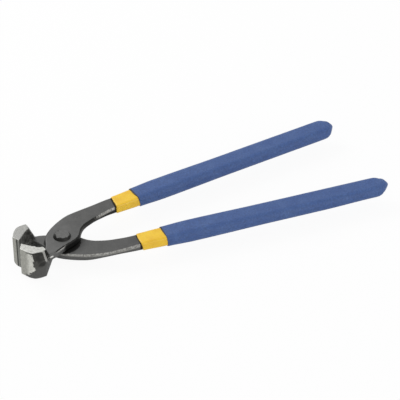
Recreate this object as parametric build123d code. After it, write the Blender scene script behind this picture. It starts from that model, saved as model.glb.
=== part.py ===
from build123d import *
from math import cos, radians, sin, tan
import os

# A 280 mm end-cutting nipper of the lap-joint kind: two forged levers turn on one rivet, and
# each handle has been dipped twice, first in a yellow coat and then in a shorter, thicker blue one.
#
# Frame, in millimetres. The origin is on the pivot axis, in the plane of the flat lower cheek of
# the joint, where the rivet's peened end is flush. +X runs from the pivot towards the handles, so
# the jaws are at -X. +Z is the pivot axis, towards the raised rivet head.
#
# The two levers are drawn alike, each as the upper half of the tool, about the middle plane between
# the two cheeks: its handle is at +Y and its jaw is at -Y. Turned half a turn about X it is the
# lower half. They differ only in the jaw: the end on the rivet head's side is ground flat, the
# other end is left longer and round, as forged. The whole tool is lifted into its frame at the end.

# ---------------------------------------------------------------- driving dimensions (mm)
# Joint
cheek_thickness = 5.5            # each lever, where the two lap over each other
lap_clearance = 0.05             # between the two lapped faces
rivet_shank_radius = 4.75
rivet_running_clearance = 0.04   # radial, in the upper lever
rivet_head_overhang = 1.55       # head's edge beyond the shank
rivet_head_slope = 1.3           # head's edge to its flat top, in plan
rivet_head_height = 2.0
rivet_head_clearance = 0.05      # under the head, so that the upper lever turns
rivet_sink_overhang = 1.65       # countersink beyond the shank
rivet_sink_depth = 1.7

# Jaws
jaw_ground_end = 11.4            # middle plane to the ground end of each jaw, on the rivet head's side
jaw_forged_end = 12.9            # middle plane to the other end, which is left as forged
cutting_edge_reach = 31.4        # pivot to cutting edge
cutting_edge_gap = 3.5           # between the two cutting edges, at rest
jaw_back_limit_x = -21.0         # no part of the slanted backs' own edges is ahead of it
upper_jaw_back_x = -18.7         # back of each jaw, at its ground end; the two were ground by hand
lower_jaw_back_x = -20.5
jaw_back_y = -12.0               # where that is measured
jaw_back_turn = 9.5              # degrees: the back's inner side lies further forward
jaw_back_lean = 0.45             # how far the back runs out behind, for each mm towards the middle plane
jaw_block_end_x = -9.0           # how far back the jaw is drawn before its back is cut
jaw_back_foot_radius = 0.9       # where the back meets the joint
jaw_edge_radius = 0.5
jaw_forged_radius = 3.3          # round the outside of the forged end
jaw_step = 0.95                  # the jaw stands proud of the joint's flank
jaw_step_x = -17.4               # where that step comes nearest to the pivot
jaw_step_radius = 0.6
flank_start_x = -12.5            # flat part of the joint's flank
flank_end_x = -17.0
flank_slope = 0.17
forging_edge_radius = 1.2        # long edges of the joint, the shank and the bar

# Shanks and handles
handle_angle = 5.4               # between each handle and X, at rest
handle_offset = 18.8             # where the handle's centre line meets the Y axis
bar_width = 11.8
bar_thickness = 5.8
bar_end_flat = 1.4               # left between the rounded corners of the bar's end, in plan
shank_end_x = 47.0               # from here on the shank is a straight bar
tool_length = 241.5              # pivot to the tips of the grips, along X

# Dipped coats, measured outwards from the steel bar
sleeve_start_x = 49.8
sleeve_start_coat = 0.75
sleeve_coat = 1.16               # where the grip begins, and on to the tip
grip_start_x = 67.0
grip_start_coat = 1.85
grip_lip_radius = 0.35
grip_swell_length = 20.0         # start to the fullest place
grip_swell = 0.35                # what the fullest place has over the rest
grip_side_coat = 3.1             # on the bar's two narrow sides
grip_face_coat = 2.03            # on its two broad faces, and beyond its end
grip_roundness = 0.96            # corner radius over half the thickness, so nearly a half round
drip_height = 2.8                # drop left by the dipping, at the very tip
drip_nose_radius = 1.15
drip_flare = 3.2                 # drop's foot beyond its nose

parts_folder = "parts"

# ---------------------------------------------------------------- derived
half_lap = lap_clearance / 2
cheek_top = half_lap + cheek_thickness      # upper cheek, above the middle plane
half_bar = bar_thickness / 2
rivet_head_radius = rivet_shank_radius + rivet_head_overhang
rivet_sink_radius = rivet_shank_radius + rivet_sink_overhang
turn = radians(handle_angle)
sleeve_start = sleeve_start_x / cos(turn)   # the same places, measured along the handle
grip_start = grip_start_x / cos(turn)
grip_tip = tool_length / cos(turn)
bar_end = grip_tip - drip_height - grip_face_coat
bar_end_radius = (bar_width - bar_end_flat) / 2


def handle_point(along, side):
    """A point of the upper handle: along its centre line from the Y axis, and beside it."""
    return (along * cos(turn) - side * sin(turn), handle_offset + along * sin(turn) + side * cos(turn))


def handle_plane(along):
    """The plane across the upper handle at that distance. Its x is across the bar, its y is Z."""
    x, y = handle_point(along, 0)
    return Plane(origin=(x, y, 0), x_dir=(-sin(turn), cos(turn), 0), z_dir=(cos(turn), sin(turn), 0))


# ---------------------------------------------------------------- one forging
def lever_outline():
    """Plan outline of the upper lever."""
    edge_y = -cutting_edge_gap / 2
    cutting_edge = (-cutting_edge_reach, edge_y)
    crest = (-cutting_edge_reach - 2.9, edge_y - 5.35)
    facet_break = (-cutting_edge_reach + 0.3, edge_y - 11.3)
    facet_end = (-cutting_edge_reach + 3.0, edge_y - 14.1)
    hollow_start = (-cutting_edge_reach + 3.1, edge_y - 3.1)

    shank_end = (shank_end_x - handle_point(0, 0)[0]) / cos(turn)
    back_start = handle_point(shank_end, bar_width / 2)
    front_start = handle_point(shank_end, -bar_width / 2)
    along = (cos(turn), sin(turn))

    with BuildSketch() as plan:
        with BuildLine():
            # back edge: jaw hollow, joint, shank
            Polyline(crest, cutting_edge, hollow_start)
            Spline(
                hollow_start, (-24.6, -8.5), (-19.2, -11.3), (-15.9, -7.2), (-13.4, -1.6), (-11.3, 4.0),
                (-7.4, 9.2), (0, 15.0), (10, 20.3), (20.4, 23.7), (31, 26.3), back_start,
                tangents=((0.72, -0.69), along), tangent_scalars=(1, 1),
            )
            # straight bar inside the coats
            Polyline(back_start, handle_point(bar_end, bar_width / 2),
                     handle_point(bar_end, -bar_width / 2), front_start)
            # front edge: shank, crotch, joint, flat flank
            Spline(
                front_start, (36, 13.9), (30.7, 11.8), (25.5, 9.3), (20.3, 6.5), (15.3, 1.5), (12.2, -3.4),
                (8.6, -6.7), (2.3, -9.2), (-5.1, -12.1), flank_point(flank_start_x),
                tangents=((-along[0], -along[1]), (-1, -flank_slope)), tangent_scalars=(1, 1),
            )
            # outside of the jaw, which stands proud of the flank
            jaw_foot = (flank_end_x, flank_point(flank_end_x)[1] - jaw_step)
            Polyline(flank_point(flank_start_x), flank_point(flank_end_x), jaw_foot)
            Spline(jaw_foot, (-20.6, -17.05), (-24.6, -17.0), facet_end,
                   tangents=((-1, -0.12), (-0.86, 0.51)), tangent_scalars=(1, 1))
            Polyline(facet_end, facet_break, crest)
        make_face()
    return plan.sketch


def flank_point(x):
    """A point of the joint's flat flank, in plan."""
    return (x, -14.9 + flank_slope * (x - flank_start_x))


def lever_profile(up, down):
    """Side profile of a lever, in XZ, its jaw still running on over the joint."""
    front = -cutting_edge_reach - 30
    back = tool_length + 30
    top_end = shank_end_x - 5        # where the top and the underside reach the bar
    under_end = shank_end_x + 1
    with BuildSketch(Plane.XZ) as side:
        with BuildLine():
            # jaw, cheek, top of the shank
            Polyline((jaw_block_end_x, half_lap), (jaw_block_end_x, -down), (front, -down), (front, up),
                     (jaw_block_end_x, up), (jaw_block_end_x, cheek_top), (10, cheek_top))
            Spline((10, cheek_top), (17, cheek_top - 0.6), (25, cheek_top - 1.5), (top_end, half_bar),
                   tangents=((1, 0), (1, 0)))
            Polyline((top_end, half_bar), (back, half_bar), (back, -half_bar), (under_end, -half_bar))
            # underside of the shank, lap face
            Spline((under_end, -half_bar), (under_end - 8, -0.7 * half_bar), (under_end - 15, -0.33 * half_bar),
                   (20, half_lap), tangents=((-1, 0), (-1, 0)))
            Line((20, half_lap), (jaw_block_end_x, half_lap))
        make_face()
    return side.sketch


def behind_jaw(back_x):
    """All that lies behind the jaw's slanted back: above the cheek, and below the lap face."""
    cuts = []
    for foot_z, way in ((cheek_top, 1), (half_lap, -1)):
        foot_x = back_x + jaw_back_lean * (jaw_ground_end - way * foot_z)
        with BuildSketch(Plane.XZ) as side:
            Polygon((foot_x, foot_z), (5, foot_z), (5, foot_z + 30 * way),
                    (foot_x - 30 * jaw_back_lean, foot_z + 30 * way), align=None)
            fillet(side.vertices().sort_by_distance(Vector(foot_x, foot_z))[0], jaw_back_foot_radius)
        prism = extrude(Pos(0, 30, 0) * side.sketch, amount=60)
        middle = Pos(foot_x, jaw_back_y, 0)
        cuts.append((middle * Rot(0, 0, jaw_back_turn) * middle.inverse() * prism).solid())
    return cuts


def behind_jaw_step():
    """All that lies outside the flat flank and behind the slanted edge of the jaw."""
    with BuildSketch() as plan:
        Polygon(flank_point(0), flank_point(-26), (-26, -30), (0, -30), align=None)
    with BuildSketch(Plane.XZ) as side:
        Polygon((0, 20), (jaw_step_x - 0.31 * 20, 20), (jaw_step_x, 0), (jaw_step_x - 0.25 * 20, -20),
                (0, -20), align=None)
    return (extrude(Pos(0, 0, -30) * plan.sketch, amount=60) & extrude(Pos(0, 80, 0) * side.sketch, amount=160)).solid()


def forging(back_x, forged_side):
    """One lever, with its edges rounded and no bore yet. The forged end of its jaw is up, 1, or down, -1."""
    up, down = (jaw_forged_end, jaw_ground_end) if forged_side > 0 else (jaw_ground_end, jaw_forged_end)
    plan = extrude(Pos(0, 0, -30) * lever_outline(), amount=60)
    side = extrude(Pos(0, 80, 0) * lever_profile(up, down), amount=160)
    lever = (plan & side - behind_jaw(back_x)).solid()

    # outside of the forged end, from the crest round to the back of the jaw
    forged_z = forged_side * jaw_forged_end
    outside = [e for e in lever.edges() if abs(e.center().Z - forged_z) < 1e-4 and (e @ 0.5).Y < -9.5
               and (e @ 0.5).X < jaw_back_limit_x and abs((e @ 1 - e @ 0).X) > 1e-3]
    lever = lever.fillet(jaw_forged_radius, outside)
    lever = (lever - behind_jaw_step()).solid()

    # corners of the bar's end
    corners = [e for e in lever.edges().filter_by(Axis.Z) if e.center().X > tool_length - 20]
    lever = lever.fillet(bar_end_radius, corners)

    # long edges of the top, then of the lap side, from the back of the jaw to the end of the bar and round it
    for way in (1, -1):
        long_edges = [e for e in lever.edges() if max((e @ 0).X, (e @ 1).X) > jaw_step_x + 0.01
                      and way * (e.center().Z - 1) > 0
                      and abs((e @ 1 - e @ 0).X) > 0.25 * abs((e @ 1 - e @ 0).Y)]
        lever = lever.fillet(forging_edge_radius, long_edges)

    # slanted edge of the step, then the rims of the ground end
    step_y = flank_point(flank_end_x)[1] - jaw_step / 2
    step = [e for e in lever.edges() if (e @ 0.5).Y < step_y and abs((e @ 1 - e @ 0).Z) > 3]
    lever = lever.fillet(jaw_step_radius, step)
    rims = [e for e in lever.edges() if abs(e.center().Z + forged_side * jaw_ground_end) < 1e-4]
    return lever.fillet(jaw_edge_radius, rims)


# ---------------------------------------------------------------- dipped coats
def coat_section(along, side_coat, face_coat, corner):
    """Section of the bar with a coat on it, across the handle."""
    return handle_plane(along) * RectangleRounded(bar_width + 2 * side_coat, bar_thickness + 2 * face_coat, corner)


def coated_bar_end(start, side_coat, face_coat, corner):
    """The bar's end with a coat on it, from start on."""
    x, y = handle_point(start, 0)
    block = Box(bar_end + face_coat - start, bar_width + 2 * side_coat, bar_thickness + 2 * face_coat,
                align=(Align.MIN, Align.CENTER, Align.CENTER)).solid()
    block = block.fillet(bar_end_radius + face_coat, block.faces().sort_by(Axis.X)[-1].edges().filter_by(Axis.Z))
    rims = [e for e in block.edges() if abs((e @ 1 - e @ 0).Z) < 1e-3 and e.center().X > 1e-3]
    block = block.fillet(corner, rims)
    return Pos(x, y, 0) * Rot(0, 0, handle_angle) * block


def sleeve_form():
    """Outside of the yellow coat, as if it were solid."""
    shank = loft([coat_section(along, coat, coat, forging_edge_radius + coat)
                  for along, coat in ((sleeve_start, sleeve_start_coat), (grip_start, sleeve_coat))])
    return (shank + coated_bar_end(grip_start, sleeve_coat, sleeve_coat, forging_edge_radius + sleeve_coat)).solid()


def grip_form():
    """Outside of the blue coat, as if it were solid."""
    swell = grip_start + grip_swell_length
    end = grip_tip - 22

    def section(along, filled, swollen):
        side_coat = grip_start_coat + filled * (grip_side_coat - grip_start_coat) + swollen * grip_swell
        face_coat = grip_start_coat + filled * (grip_face_coat - grip_start_coat) + swollen * grip_swell
        edge = forging_edge_radius + grip_start_coat
        corner = edge + filled * (grip_roundness * (bar_thickness / 2 + face_coat) - edge)
        return coat_section(along, side_coat, face_coat, corner)

    filling = loft([section(grip_start, 0, 0), section(grip_start + 0.4 * grip_swell_length, 0.7, 0.6),
                    section(swell, 1, 1)])
    lip = filling.faces().sort_by(Axis.X)[0].edges()
    filling = filling.solid().fillet(grip_lip_radius, lip)
    body = loft([section(swell, 1, 1), section(end, 1, 0)])
    rounded_end = coated_bar_end(end, grip_side_coat, grip_face_coat,
                                 grip_roundness * (bar_thickness / 2 + grip_face_coat))

    # the drop starts inside the rounded end and flows out of it
    foot = grip_tip - drip_height - grip_face_coat
    drop = Cone(drip_nose_radius + drip_flare, drip_nose_radius, grip_tip - foot,
                align=(Align.CENTER, Align.CENTER, Align.MIN)).solid()
    drop = drop.fillet(0.85 * drip_nose_radius, drop.edges().sort_by(Axis.Z)[-1:])
    return (filling + body + rounded_end + handle_plane(foot) * drop).solid()


# ---------------------------------------------------------------- rivet
def rivet():
    under_head = cheek_top + rivet_head_clearance
    up = (Align.CENTER, Align.CENTER, Align.MIN)
    shank = Pos(0, 0, -cheek_top) * Cylinder(rivet_shank_radius, cheek_top + under_head, align=up)
    sink = Pos(0, 0, -cheek_top) * Cone(rivet_sink_radius, rivet_shank_radius, rivet_sink_depth, align=up)
    head = Pos(0, 0, under_head) * Cone(rivet_head_radius, rivet_head_radius - rivet_head_slope,
                                        rivet_head_height, align=up)
    head = head.solid().fillet(0.35, head.edges().sort_by(Axis.Z)[-1:])
    return (shank + sink + head).solid()


# ---------------------------------------------------------------- the tool
def turned_over(piece):
    return Rot(180, 0, 0) * piece


def build():
    """Every piece, in the tool's frame."""
    lever = forging(upper_jaw_back_x, -1)
    other_lever = forging(lower_jaw_back_x, 1)
    sleeve_outside = sleeve_form()
    sleeve = (sleeve_outside - lever).solid()
    grip = (grip_form() - sleeve_outside).solid()
    pin = rivet()
    running_bore = Cylinder(rivet_shank_radius + rivet_running_clearance, 4 * cheek_top)

    pieces = {
        "upper_lever": lever - running_bore,
        "lower_lever": turned_over(other_lever) - pin,
        "pivot_rivet": pin,
        "upper_under_sleeve": sleeve,
        "lower_under_sleeve": turned_over(sleeve),
        "upper_grip": grip,
        "lower_grip": turned_over(grip),
    }
    lift = Pos(0, 0, cheek_top)
    return {name: (lift * piece).solid() for name, piece in pieces.items()}


if __name__ == "__main__":
    os.makedirs(parts_folder, exist_ok=True)
    for name, piece in build().items():
        export_step(piece, f"{parts_folder}/{name}.step")
        box = piece.bounding_box()
        print(f"{name:20s} {piece.volume:9.1f} mm3  valid {piece.is_valid}  "
              f"x {box.min.X:7.2f} {box.max.X:7.2f}  y {box.min.Y:7.2f} {box.max.Y:7.2f}  z {box.min.Z:6.2f} {box.max.Z:6.2f}")
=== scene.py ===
# %% [markdown]
# # An end-cutting nipper with dipped handles
# The tool is two drop-forged levers on one rivet, the kind that ties and cuts wire.
# Its handles were dipped twice in liquid PVC: first a thin yellow coat, then a shorter
# and thicker blue one. The frame below already holds every piece as plain CAD solids, so this
# lesson is about looks: steel that was blackened and then ground bright at the jaws, and
# soft coats that follow the bar inside them.

# %% Load the frame
from math import cos, pi, radians
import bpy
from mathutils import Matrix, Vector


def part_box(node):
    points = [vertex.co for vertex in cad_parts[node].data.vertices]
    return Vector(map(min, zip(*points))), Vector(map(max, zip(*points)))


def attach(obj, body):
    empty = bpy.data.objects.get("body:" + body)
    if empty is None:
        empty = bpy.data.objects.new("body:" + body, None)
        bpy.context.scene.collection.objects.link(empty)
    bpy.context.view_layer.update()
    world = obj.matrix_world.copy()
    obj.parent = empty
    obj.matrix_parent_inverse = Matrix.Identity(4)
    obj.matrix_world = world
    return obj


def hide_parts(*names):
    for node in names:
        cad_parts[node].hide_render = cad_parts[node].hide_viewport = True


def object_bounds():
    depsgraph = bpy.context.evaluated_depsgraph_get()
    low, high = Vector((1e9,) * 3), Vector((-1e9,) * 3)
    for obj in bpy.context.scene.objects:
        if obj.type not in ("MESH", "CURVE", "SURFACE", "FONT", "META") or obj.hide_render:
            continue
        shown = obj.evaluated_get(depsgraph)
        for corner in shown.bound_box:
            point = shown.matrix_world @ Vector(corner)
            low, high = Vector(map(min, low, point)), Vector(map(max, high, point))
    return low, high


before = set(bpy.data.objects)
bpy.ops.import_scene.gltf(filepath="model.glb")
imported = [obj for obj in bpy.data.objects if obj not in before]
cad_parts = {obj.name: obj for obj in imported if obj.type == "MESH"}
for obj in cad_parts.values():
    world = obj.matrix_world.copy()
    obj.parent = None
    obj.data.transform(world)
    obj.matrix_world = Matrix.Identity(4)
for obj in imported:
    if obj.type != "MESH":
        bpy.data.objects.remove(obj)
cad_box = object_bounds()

from types import SimpleNamespace

import bpy
from mathutils import Quaternion, Vector

MM = 0.001

# %% [markdown]
# ## The sizes that the looks need
# The levers lap on a middle plane, and each handle is a straight flat bar that leaves the joint
# at a small angle. The coats are built on that bar, so its sizes are repeated here, in
# millimetres. The slanted edge behind each jaw and the ground end above it are named too, because
# the finishes change there.

# %% Sizes of the bar and the jaws
sleeve_low, sleeve_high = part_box("upper_under_sleeve")
middle_z = (sleeve_low.z + sleeve_high.z) / 2 / MM           # plane between the two cheeks
ground_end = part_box("upper_lever")[1].z / MM - middle_z      # from that plane to a jaw's ground end
jaw_edge_x = -18.15              # where the slanted edge behind the jaw meets that plane
bar_width = 11.8
bar_thickness = 5.8
bar_edge_radius = 1.2
bar_end_radius = 5.2
handle_angle = radians(5.4)
handle_offset = 18.8             # where the bar's centre line meets the Y axis
grip_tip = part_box("upper_grip")[1].x / MM / cos(handle_angle)
print("middle plane", round(middle_z, 3), "ground end", round(ground_end, 2), "tip", round(grip_tip, 2))

# %% [markdown]
# ## Two small helpers
# Colours are picked as sRGB hex, as on a paint card, but a shader works in linear light, so one
# function turns one into the other. The second function adds a node, sets it up and links it,
# for materials and for geometry alike. That keeps each recipe readable as a list.

# %% Colour and node helpers
def linear(hex_colour):
    """sRGB hex, such as "#4C629A", as a linear RGBA colour."""
    levels = [int(hex_colour[i:i + 2], 16) / 255 for i in (1, 3, 5)]
    return tuple(v / 12.92 if v <= 0.04045 else ((v + 0.055) / 1.055) ** 2.4 for v in levels) + (1.0,)


def add(tree, kind, inputs=(), stops=None, **settings):
    """A new node in tree. An input is a value, a socket, or a node whose first output is meant."""
    node = tree.nodes.new(kind)
    for setting, value in settings.items():
        setattr(node, setting, value)
    for key, value in inputs.items() if isinstance(inputs, dict) else enumerate(inputs):
        if isinstance(value, bpy.types.Node):
            value = next(socket for socket in value.outputs if socket.enabled)
        if isinstance(value, bpy.types.NodeSocket):
            tree.links.new(value, node.inputs[key])
        else:
            node.inputs[key].default_value = value
    if stops:
        ramp = node.color_ramp
        while len(ramp.elements) < len(stops):
            ramp.elements.new(0.5)
        for element, (stop, colour) in zip(ramp.elements, stops):
            element.position, element.color = stop, linear(colour)
    return node


print("white is", linear("#FFFFFF"), "and mid grey is", [round(v, 3) for v in linear("#808080")])

# %% [markdown]
# ## Camera
# A long lens from the front left, well above the tool. The handles point away from the camera to
# the right, and the jaws come towards it. A hair of roll levels the view.

# %% Place the camera
camera_place = Vector((-346.895, -927.710, 802.098)) * MM
camera_aim = Vector((109.018, 1.864, 5.525)) * MM
camera_roll = 0.0038419

lens = bpy.data.cameras.new("camera")
lens.sensor_width = 36
lens.lens = 161.454
lens.clip_start, lens.clip_end = 0.05, 20
camera = bpy.data.objects.new("camera", lens)
bpy.context.collection.objects.link(camera)
camera.location = camera_place
camera.rotation_mode = "QUATERNION"
aim_turn = (camera_aim - camera_place).to_track_quat("-Z", "Y")
camera.rotation_quaternion = aim_turn @ Quaternion((0, 0, 1), camera_roll)
bpy.context.scene.camera = camera
print("camera is", round((camera_aim - camera_place).length, 3), "m from its aim")

# %% [markdown]
# ## Studio
# A sweep of pale paper in a white room, with two large soft lamps: the key stands above and
# behind the tool on the left, and a second one fills in from the front right. The eye and every
# mirror-like surface should see clean white paper, so the floor and the world answer camera and
# reflection rays with plain white. Soft light on the tool is a separate, lower level.

# %% The white room
def clean_white_rays(tree):
    """1 for the rays of the eye and of reflections, 0 for the rays that light the tool."""
    rays = add(tree, "ShaderNodeLightPath").outputs
    seen = add(tree, "ShaderNodeMath", (rays["Is Camera Ray"], rays["Is Glossy Ray"]), operation="MAXIMUM")
    return add(tree, "ShaderNodeMath", (seen, rays["Is Transmission Ray"]), operation="MAXIMUM")


fill_level = 0.60      # the room's own light on the tool, where 1 is clean white

scene = bpy.context.scene
scene.view_settings.view_transform = "Standard"
world = bpy.data.worlds.new("white room")
scene.world = world
world.use_nodes = True
room = world.node_tree
room.nodes.clear()
level = add(room, "ShaderNodeMapRange", {"Value": clean_white_rays(room), "To Min": fill_level})
glow = add(room, "ShaderNodeBackground", {"Color": linear("#FFFFFF"), "Strength": level})
add(room, "ShaderNodeOutputWorld", {"Surface": glow})
print("the room shines at", fill_level, "on the tool")

# %% [markdown]
# The floor lets a little of its real shading through, and that is what keeps the tool's shadow
# on it. It lies just under the ends of the jaws, the lowest points of the tool.

# %% The floor
floor_white = 0.93     # share of clean white that the floor shows to the eye
floor_gap = 0.02 * MM
floor_reach = 3        # metres from the tool to each side of the paper


def empty_material(name):
    """A new material with nothing in its tree, and that tree."""
    material = bpy.data.materials.new(name)
    material.use_nodes = True
    material.node_tree.nodes.clear()
    return material, material.node_tree


paper, tree = empty_material("white_paper")
share = add(tree, "ShaderNodeMath", (clean_white_rays(tree), floor_white), operation="MULTIPLY")
matt = add(tree, "ShaderNodeBsdfDiffuse", {"Color": linear("#F3F3F3")})
clean = add(tree, "ShaderNodeEmission", {"Color": linear("#FFFFFF"), "Strength": 1.0})
mixed = add(tree, "ShaderNodeMixShader", (share, matt, clean))
add(tree, "ShaderNodeOutputMaterial", {"Surface": mixed})

floor_z = cad_box[0].z - floor_gap
corners = [(x * floor_reach, y * floor_reach, floor_z) for x, y in ((-1, -1), (1, -1), (1, 1), (-1, 1))]
floor_mesh = bpy.data.meshes.new("floor")
floor_mesh.from_pydata(corners, [], [(0, 1, 2, 3)])
floor_mesh.materials.append(paper)
floor = bpy.data.objects.new("floor", floor_mesh)
bpy.context.collection.objects.link(floor)
print("floor at", round(floor_z / MM, 2), "mm")

# %% [markdown]
# Large lamps close by give shadows with soft edges. They are only as strong as a colour needs to
# come out about as it is written.

# %% The two lamps
lamps = {"key softbox": dict(size=0.9, power=9.8, place=Vector((-0.35, 1.0, 1.0))),
         "front softbox": dict(size=1.2, power=9.0, place=Vector((0.75, -1.5, 0.85)))}
lit_point = Vector((0.1, 0, 0))
for label, lamp in lamps.items():
    softbox = bpy.data.lights.new(label, "AREA")
    softbox.shape = "SQUARE"
    softbox.size = lamp["size"]
    softbox.energy = lamp["power"]
    stand = bpy.data.objects.new(label, softbox)
    bpy.context.collection.objects.link(stand)
    stand.location = lamp["place"]
    stand.rotation_mode = "QUATERNION"
    stand.rotation_quaternion = (lit_point - lamp["place"]).to_track_quat("-Z", "Y")
    print(label, "stands", round((lamp["place"] - lit_point).length, 2), "m away")

# %% [markdown]
# ## Blackened forged steel, ground bright at the jaws
# The levers are carbon steel, hot forged in dies, tumbled and then blackened in hot salts. The
# black oxide is a thin mineral skin, so it mirrors much less than bare steel: a dark,
# satin grey with faint blotches from the forging scale. The maker then grinds the cutting
# facets and the upper end of each jaw on a belt, which cuts the skin away and leaves pale, finely
# scratched metal with an uneven border.
#
# One recipe makes the steel of both levers, and a few numbers tell them apart: each was ground by
# hand, and each carries its own painted shade and painted highlights. The recipe is a stack of layers:
# the oxide, scale and ground metal, with painted shade, shadow and highlights laid among them.
# Where a layer lies is worked out from the place on the lever, in millimetres, and noise
# makes its border wander. A painted texture would do as well, but a rule needs no picture and
# stays sharp close up.

# %% Places on a piece
def in_millimetres(tree):
    """The place on a piece, from its Object coordinates."""
    place = add(tree, "ShaderNodeTexCoord").outputs["Object"]
    return add(tree, "ShaderNodeVectorMath", {0: place, "Scale": 1 / MM}, operation="SCALE")


def along_handle(tree, in_mm):
    """Places along a handle (X) and across it (Y), in millimetres, on either side of the tool."""
    at = add(tree, "ShaderNodeSeparateXYZ", (in_mm,)).outputs
    beside = add(tree, "ShaderNodeMath", (at["Y"],), operation="ABSOLUTE")
    beside = add(tree, "ShaderNodeMath", (beside, handle_offset), operation="SUBTRACT")
    from_bar = add(tree, "ShaderNodeCombineXYZ", (at["X"], beside))
    turned = add(tree, "ShaderNodeVectorRotate", {"Vector": from_bar, "Angle": -handle_angle},
                 rotation_type="Z_AXIS")
    return add(tree, "ShaderNodeSeparateXYZ", (turned,)).outputs


print("handles lean by", round(handle_angle, 4), "radians")

# %% [markdown]
# The layers ask the same few questions about a point, so these are answered once: where it is,
# how it faces, and what four noises say there. The noises have the sizes of real marks: blotches
# of scale about 7 mm wide, a grain of 0.8 mm that is coarser than the real one so that it shows,
# and a slow and a ragged wander for the borders.

# %% What the layers ask about a point
NOISES = (("blotches", 7.0, 4, 0.6),      # name, size in millimetres, detail and roughness
          ("grain", 0.8, 3, 0.6),
          ("wander", 3.2, 2, 0.5),
          ("ragged", 1.4, 3, 0.6))
jaw_ends, shank_starts = -11.0, -6.0      # X between which the jaw's marks give way to the shank's


def survey(tree):
    """Answers for a point of a lever, in millimetres.

    height is above the middle plane and aside is from the tool's middle. forward is negative on
    faces that look out of the jaws. level is 1 on a face that lies flat and 0 on an upright one.
    """
    in_mm = in_millimetres(tree)
    at = add(tree, "ShaderNodeSeparateXYZ", (in_mm,)).outputs
    normal = add(tree, "ShaderNodeTexCoord").outputs["Normal"]
    facing = add(tree, "ShaderNodeSeparateXYZ", (normal,)).outputs
    here = SimpleNamespace(in_mm=in_mm, x=at["X"], y=at["Y"], forward=facing["X"])
    here.height = add(tree, "ShaderNodeMath", (at["Z"], middle_z), operation="SUBTRACT")
    here.aside = add(tree, "ShaderNodeMath", (at["Y"],), operation="ABSOLUTE")
    here.level = add(tree, "ShaderNodeMath", (facing["Z"],), operation="ABSOLUTE")
    for label, size, detail, roughness in NOISES:
        noise = add(tree, "ShaderNodeTexNoise",
                    {"Vector": in_mm, "Scale": 1 / size, "Detail": detail, "Roughness": roughness})
        setattr(here, label, noise)
    here.drift = add(tree, "ShaderNodeMath", (here.ragged, 0.5), operation="SUBTRACT")

    # shares that several layers need: upright faces, what lies behind the jaw, and its walls, which get
    # painted shade
    here.upright = add(tree, "ShaderNodeMapRange", {"Value": here.level, "From Min": 0.6, "From Max": 0.4})
    here.behind_jaw = add(tree, "ShaderNodeMapRange",
                          {"Value": here.x, "From Min": jaw_ends, "From Max": shank_starts})
    wall = add(tree, "ShaderNodeMapRange", {"Value": here.level, "From Min": 0.55, "From Max": 0.30})
    here.wall = add(tree, "ShaderNodeMath", (wall, here.behind_jaw), operation="MULTIPLY")
    return here


print("noises, mm:", {label: size for label, size, detail, roughness in NOISES})

# %% [markdown]
# A layer is a few shares and a colour. A share goes from 0 to 1, and the layer lies where all of its
# shares are 1, so they are multiplied. Every colour in the stack is blended in this one way.

# %% Lay layers over a colour
SHARE, UNDER, OVER = 0, 6, 7     # sockets of a Mix node that blends colours


def lay(tree, colour, layers):
    """The colour with all the layers over it, each of them a tuple of shares and then its paint."""
    for shares, paint in layers:
        together = shares[0]
        for share in shares[1:]:
            together = add(tree, "ShaderNodeMath", (together, share), operation="MULTIPLY")
        paint = linear(paint) if isinstance(paint, str) else paint
        colour = add(tree, "ShaderNodeMix", {SHARE: together, UNDER: colour, OVER: paint}, data_type="RGBA")
    return colour


print("a Mix node blends colours by its sockets", SHARE, UNDER, OVER)

# %% [markdown]
# The oxide itself is the bottom of the stack: mottled by the forging scale. It is painted lighter
# round the joint and darker along the shank, as painted shade.

# %% Oxide skin
joint_tone = 0.87
tone_from, tone_to = -10.0, 34.0      # X where the tone starts to fall, and where it has fallen


def oxide(tree, here, shank_shade):
    """The mottled skin with painted shade, its tone going from joint_tone at the joint to shank_shade along
    the lever.
    """
    mottled = add(tree, "ShaderNodeMath", (here.grain, 0.35, here.blotches), operation="MULTIPLY_ADD")
    skin = add(tree, "ShaderNodeValToRGB", (mottled,),
               stops=[(0.35, "#565655"), (0.62, "#5E5E5D"), (0.95, "#696968")])
    tone = add(tree, "ShaderNodeMapRange", {"Value": here.x, "From Min": tone_from, "From Max": tone_to,
                                            "To Min": joint_tone, "To Max": shank_shade})
    return add(tree, "ShaderNodeVectorMath", {0: skin, "Scale": tone}, operation="SCALE")


print("tone falls over", tone_to - tone_from, "mm")

# %% [markdown]
# The outside of the jaw, where the belt doesn't reach, is painted in shade: its upright faces a
# darker grey, a dark band below its upper end and a dark patch under that. An oval with a ragged
# rim draws the patch, and later the painted glint on the corner too. The hollow inside the jaw is
# streaked with scale.

# %% Painted shade and scale at the jaw
outside_from = -18.0         # X of the jaw's outside, towards its front
hollow_from = -16.0          # X of the hollow inside it
hollow_half = 12.0           # and how far it reaches to each side
shaded_above = -0.8           # height, wander added, from which the band of painted shade starts to show
SHADE_PATCH = dict(x=-22.0, height=0.6, half_length=3.0, half_height=2.4, raggedness=1.2)


def oval(tree, here, x, height, half_length, half_height, raggedness):
    """How far a point is from the middle of an upright oval: 1 is its rim."""
    along = add(tree, "ShaderNodeMath", (here.x, x), operation="SUBTRACT")
    along = add(tree, "ShaderNodeMath", (along, half_length), operation="DIVIDE")
    above = add(tree, "ShaderNodeMath", (here.height, height), operation="SUBTRACT")
    above = add(tree, "ShaderNodeMath", (above, half_height), operation="DIVIDE")
    from_middle = add(tree, "ShaderNodeCombineXYZ", (along, above))
    from_middle = add(tree, "ShaderNodeVectorMath", (from_middle,), operation="LENGTH")
    return add(tree, "ShaderNodeMath", (here.drift, raggedness, from_middle), operation="MULTIPLY_ADD")


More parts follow.
